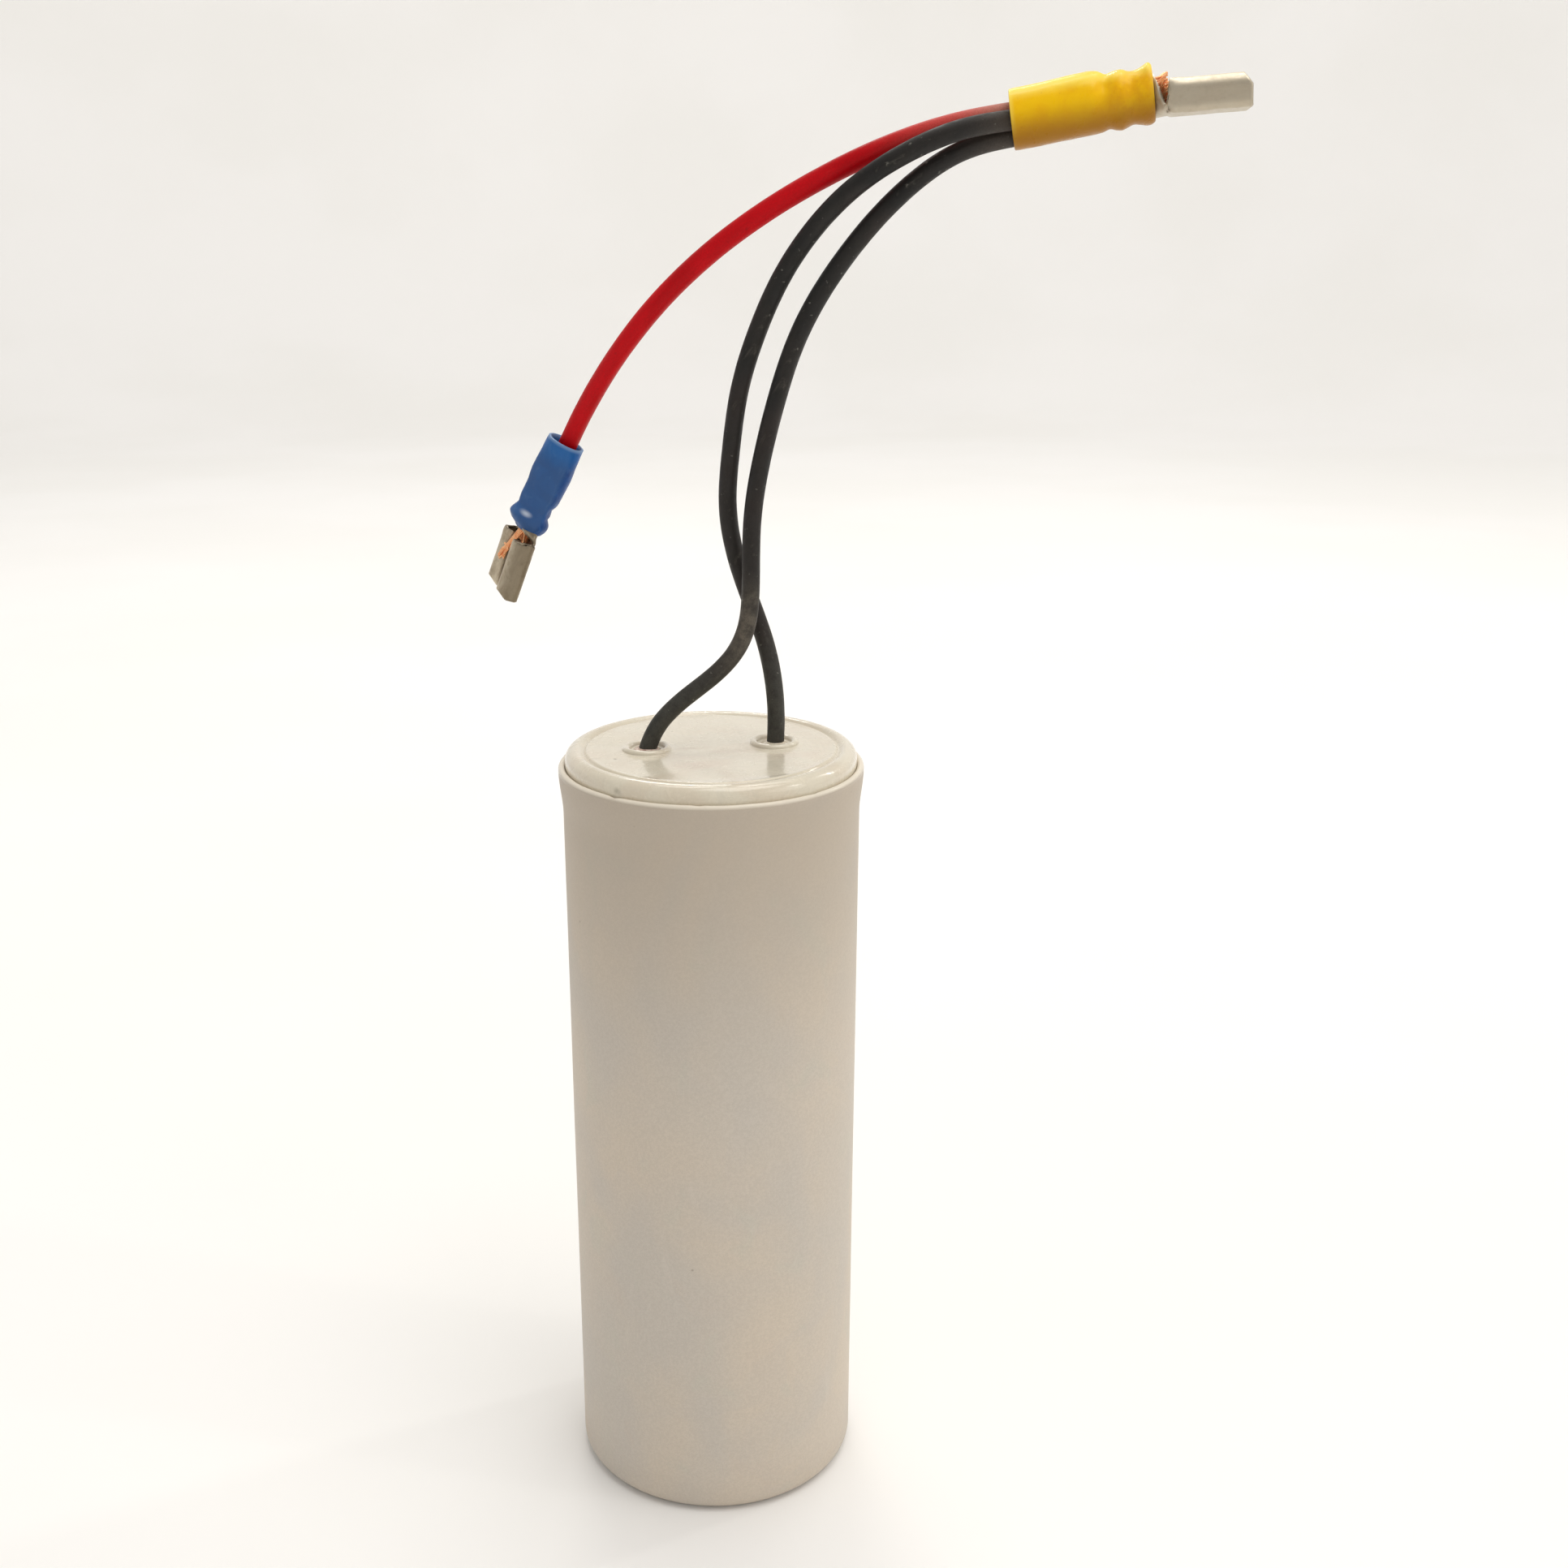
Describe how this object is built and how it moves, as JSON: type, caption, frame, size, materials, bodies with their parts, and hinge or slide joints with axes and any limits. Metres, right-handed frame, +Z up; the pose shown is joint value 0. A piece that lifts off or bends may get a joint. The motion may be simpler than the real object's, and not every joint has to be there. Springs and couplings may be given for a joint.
{
  "type": "motor run capacitor",
  "caption": "Round plastic-cased motor run capacitor with flying leads from two lid collars to insulated crimp push-on terminals.",
  "frame": {"origin": "centre of the can's flat base", "axes": "+Z up the can's axis towards the lid and leads, X through the middles of the two lead collars with the yellow terminal on the +X side, +Y away from the side that faces the viewer"},
  "size_m": [0.0795, 0.0439, 0.1723],
  "materials": {
    "can_plastic": "satin moulded",
    "lid_plastic": "semi-gloss moulded",
    "seal_resin": "cast resin",
    "potting_resin": "cast resin",
    "wrap_film": "smooth film",
    "wound_film": "metallised film",
    "core_plastic": "moulded",
    "spray_metal": "sprayed zinc",
    "copper": "drawn copper",
    "solder": "satin",
    "black_insulation": "matt",
    "red_insulation": "satin",
    "yellow_vinyl": "satin",
    "blue_vinyl": "satin",
    "tinned_brass": "tinned, satin"
  },
  "bodies": {
    "root": {"can": "can_plastic", "lid": "lid_plastic", "seal_left": "seal_resin", "seal_right": "seal_resin", "potting": "potting_resin", "outer_wrap": "wrap_film", "film_winding": "wound_film", "winding_core": "core_plastic", "end_spray_top": "spray_metal", "end_spray_bottom": "spray_metal", "tail_top": "copper", "tail_bottom": "copper", "tail_sleeve": "core_plastic", "solder_top": "solder", "solder_bottom": "solder", "black_lead_left": "black_insulation", "black_lead_right": "black_insulation", "red_lead": "red_insulation", "yellow_sleeve": "yellow_vinyl", "yellow_receptacle": "tinned_brass", "yellow_strands": "copper", "blue_sleeve": "blue_vinyl", "blue_receptacle": "tinned_brass", "blue_strands": "copper"}
  },
  "joints": []
}
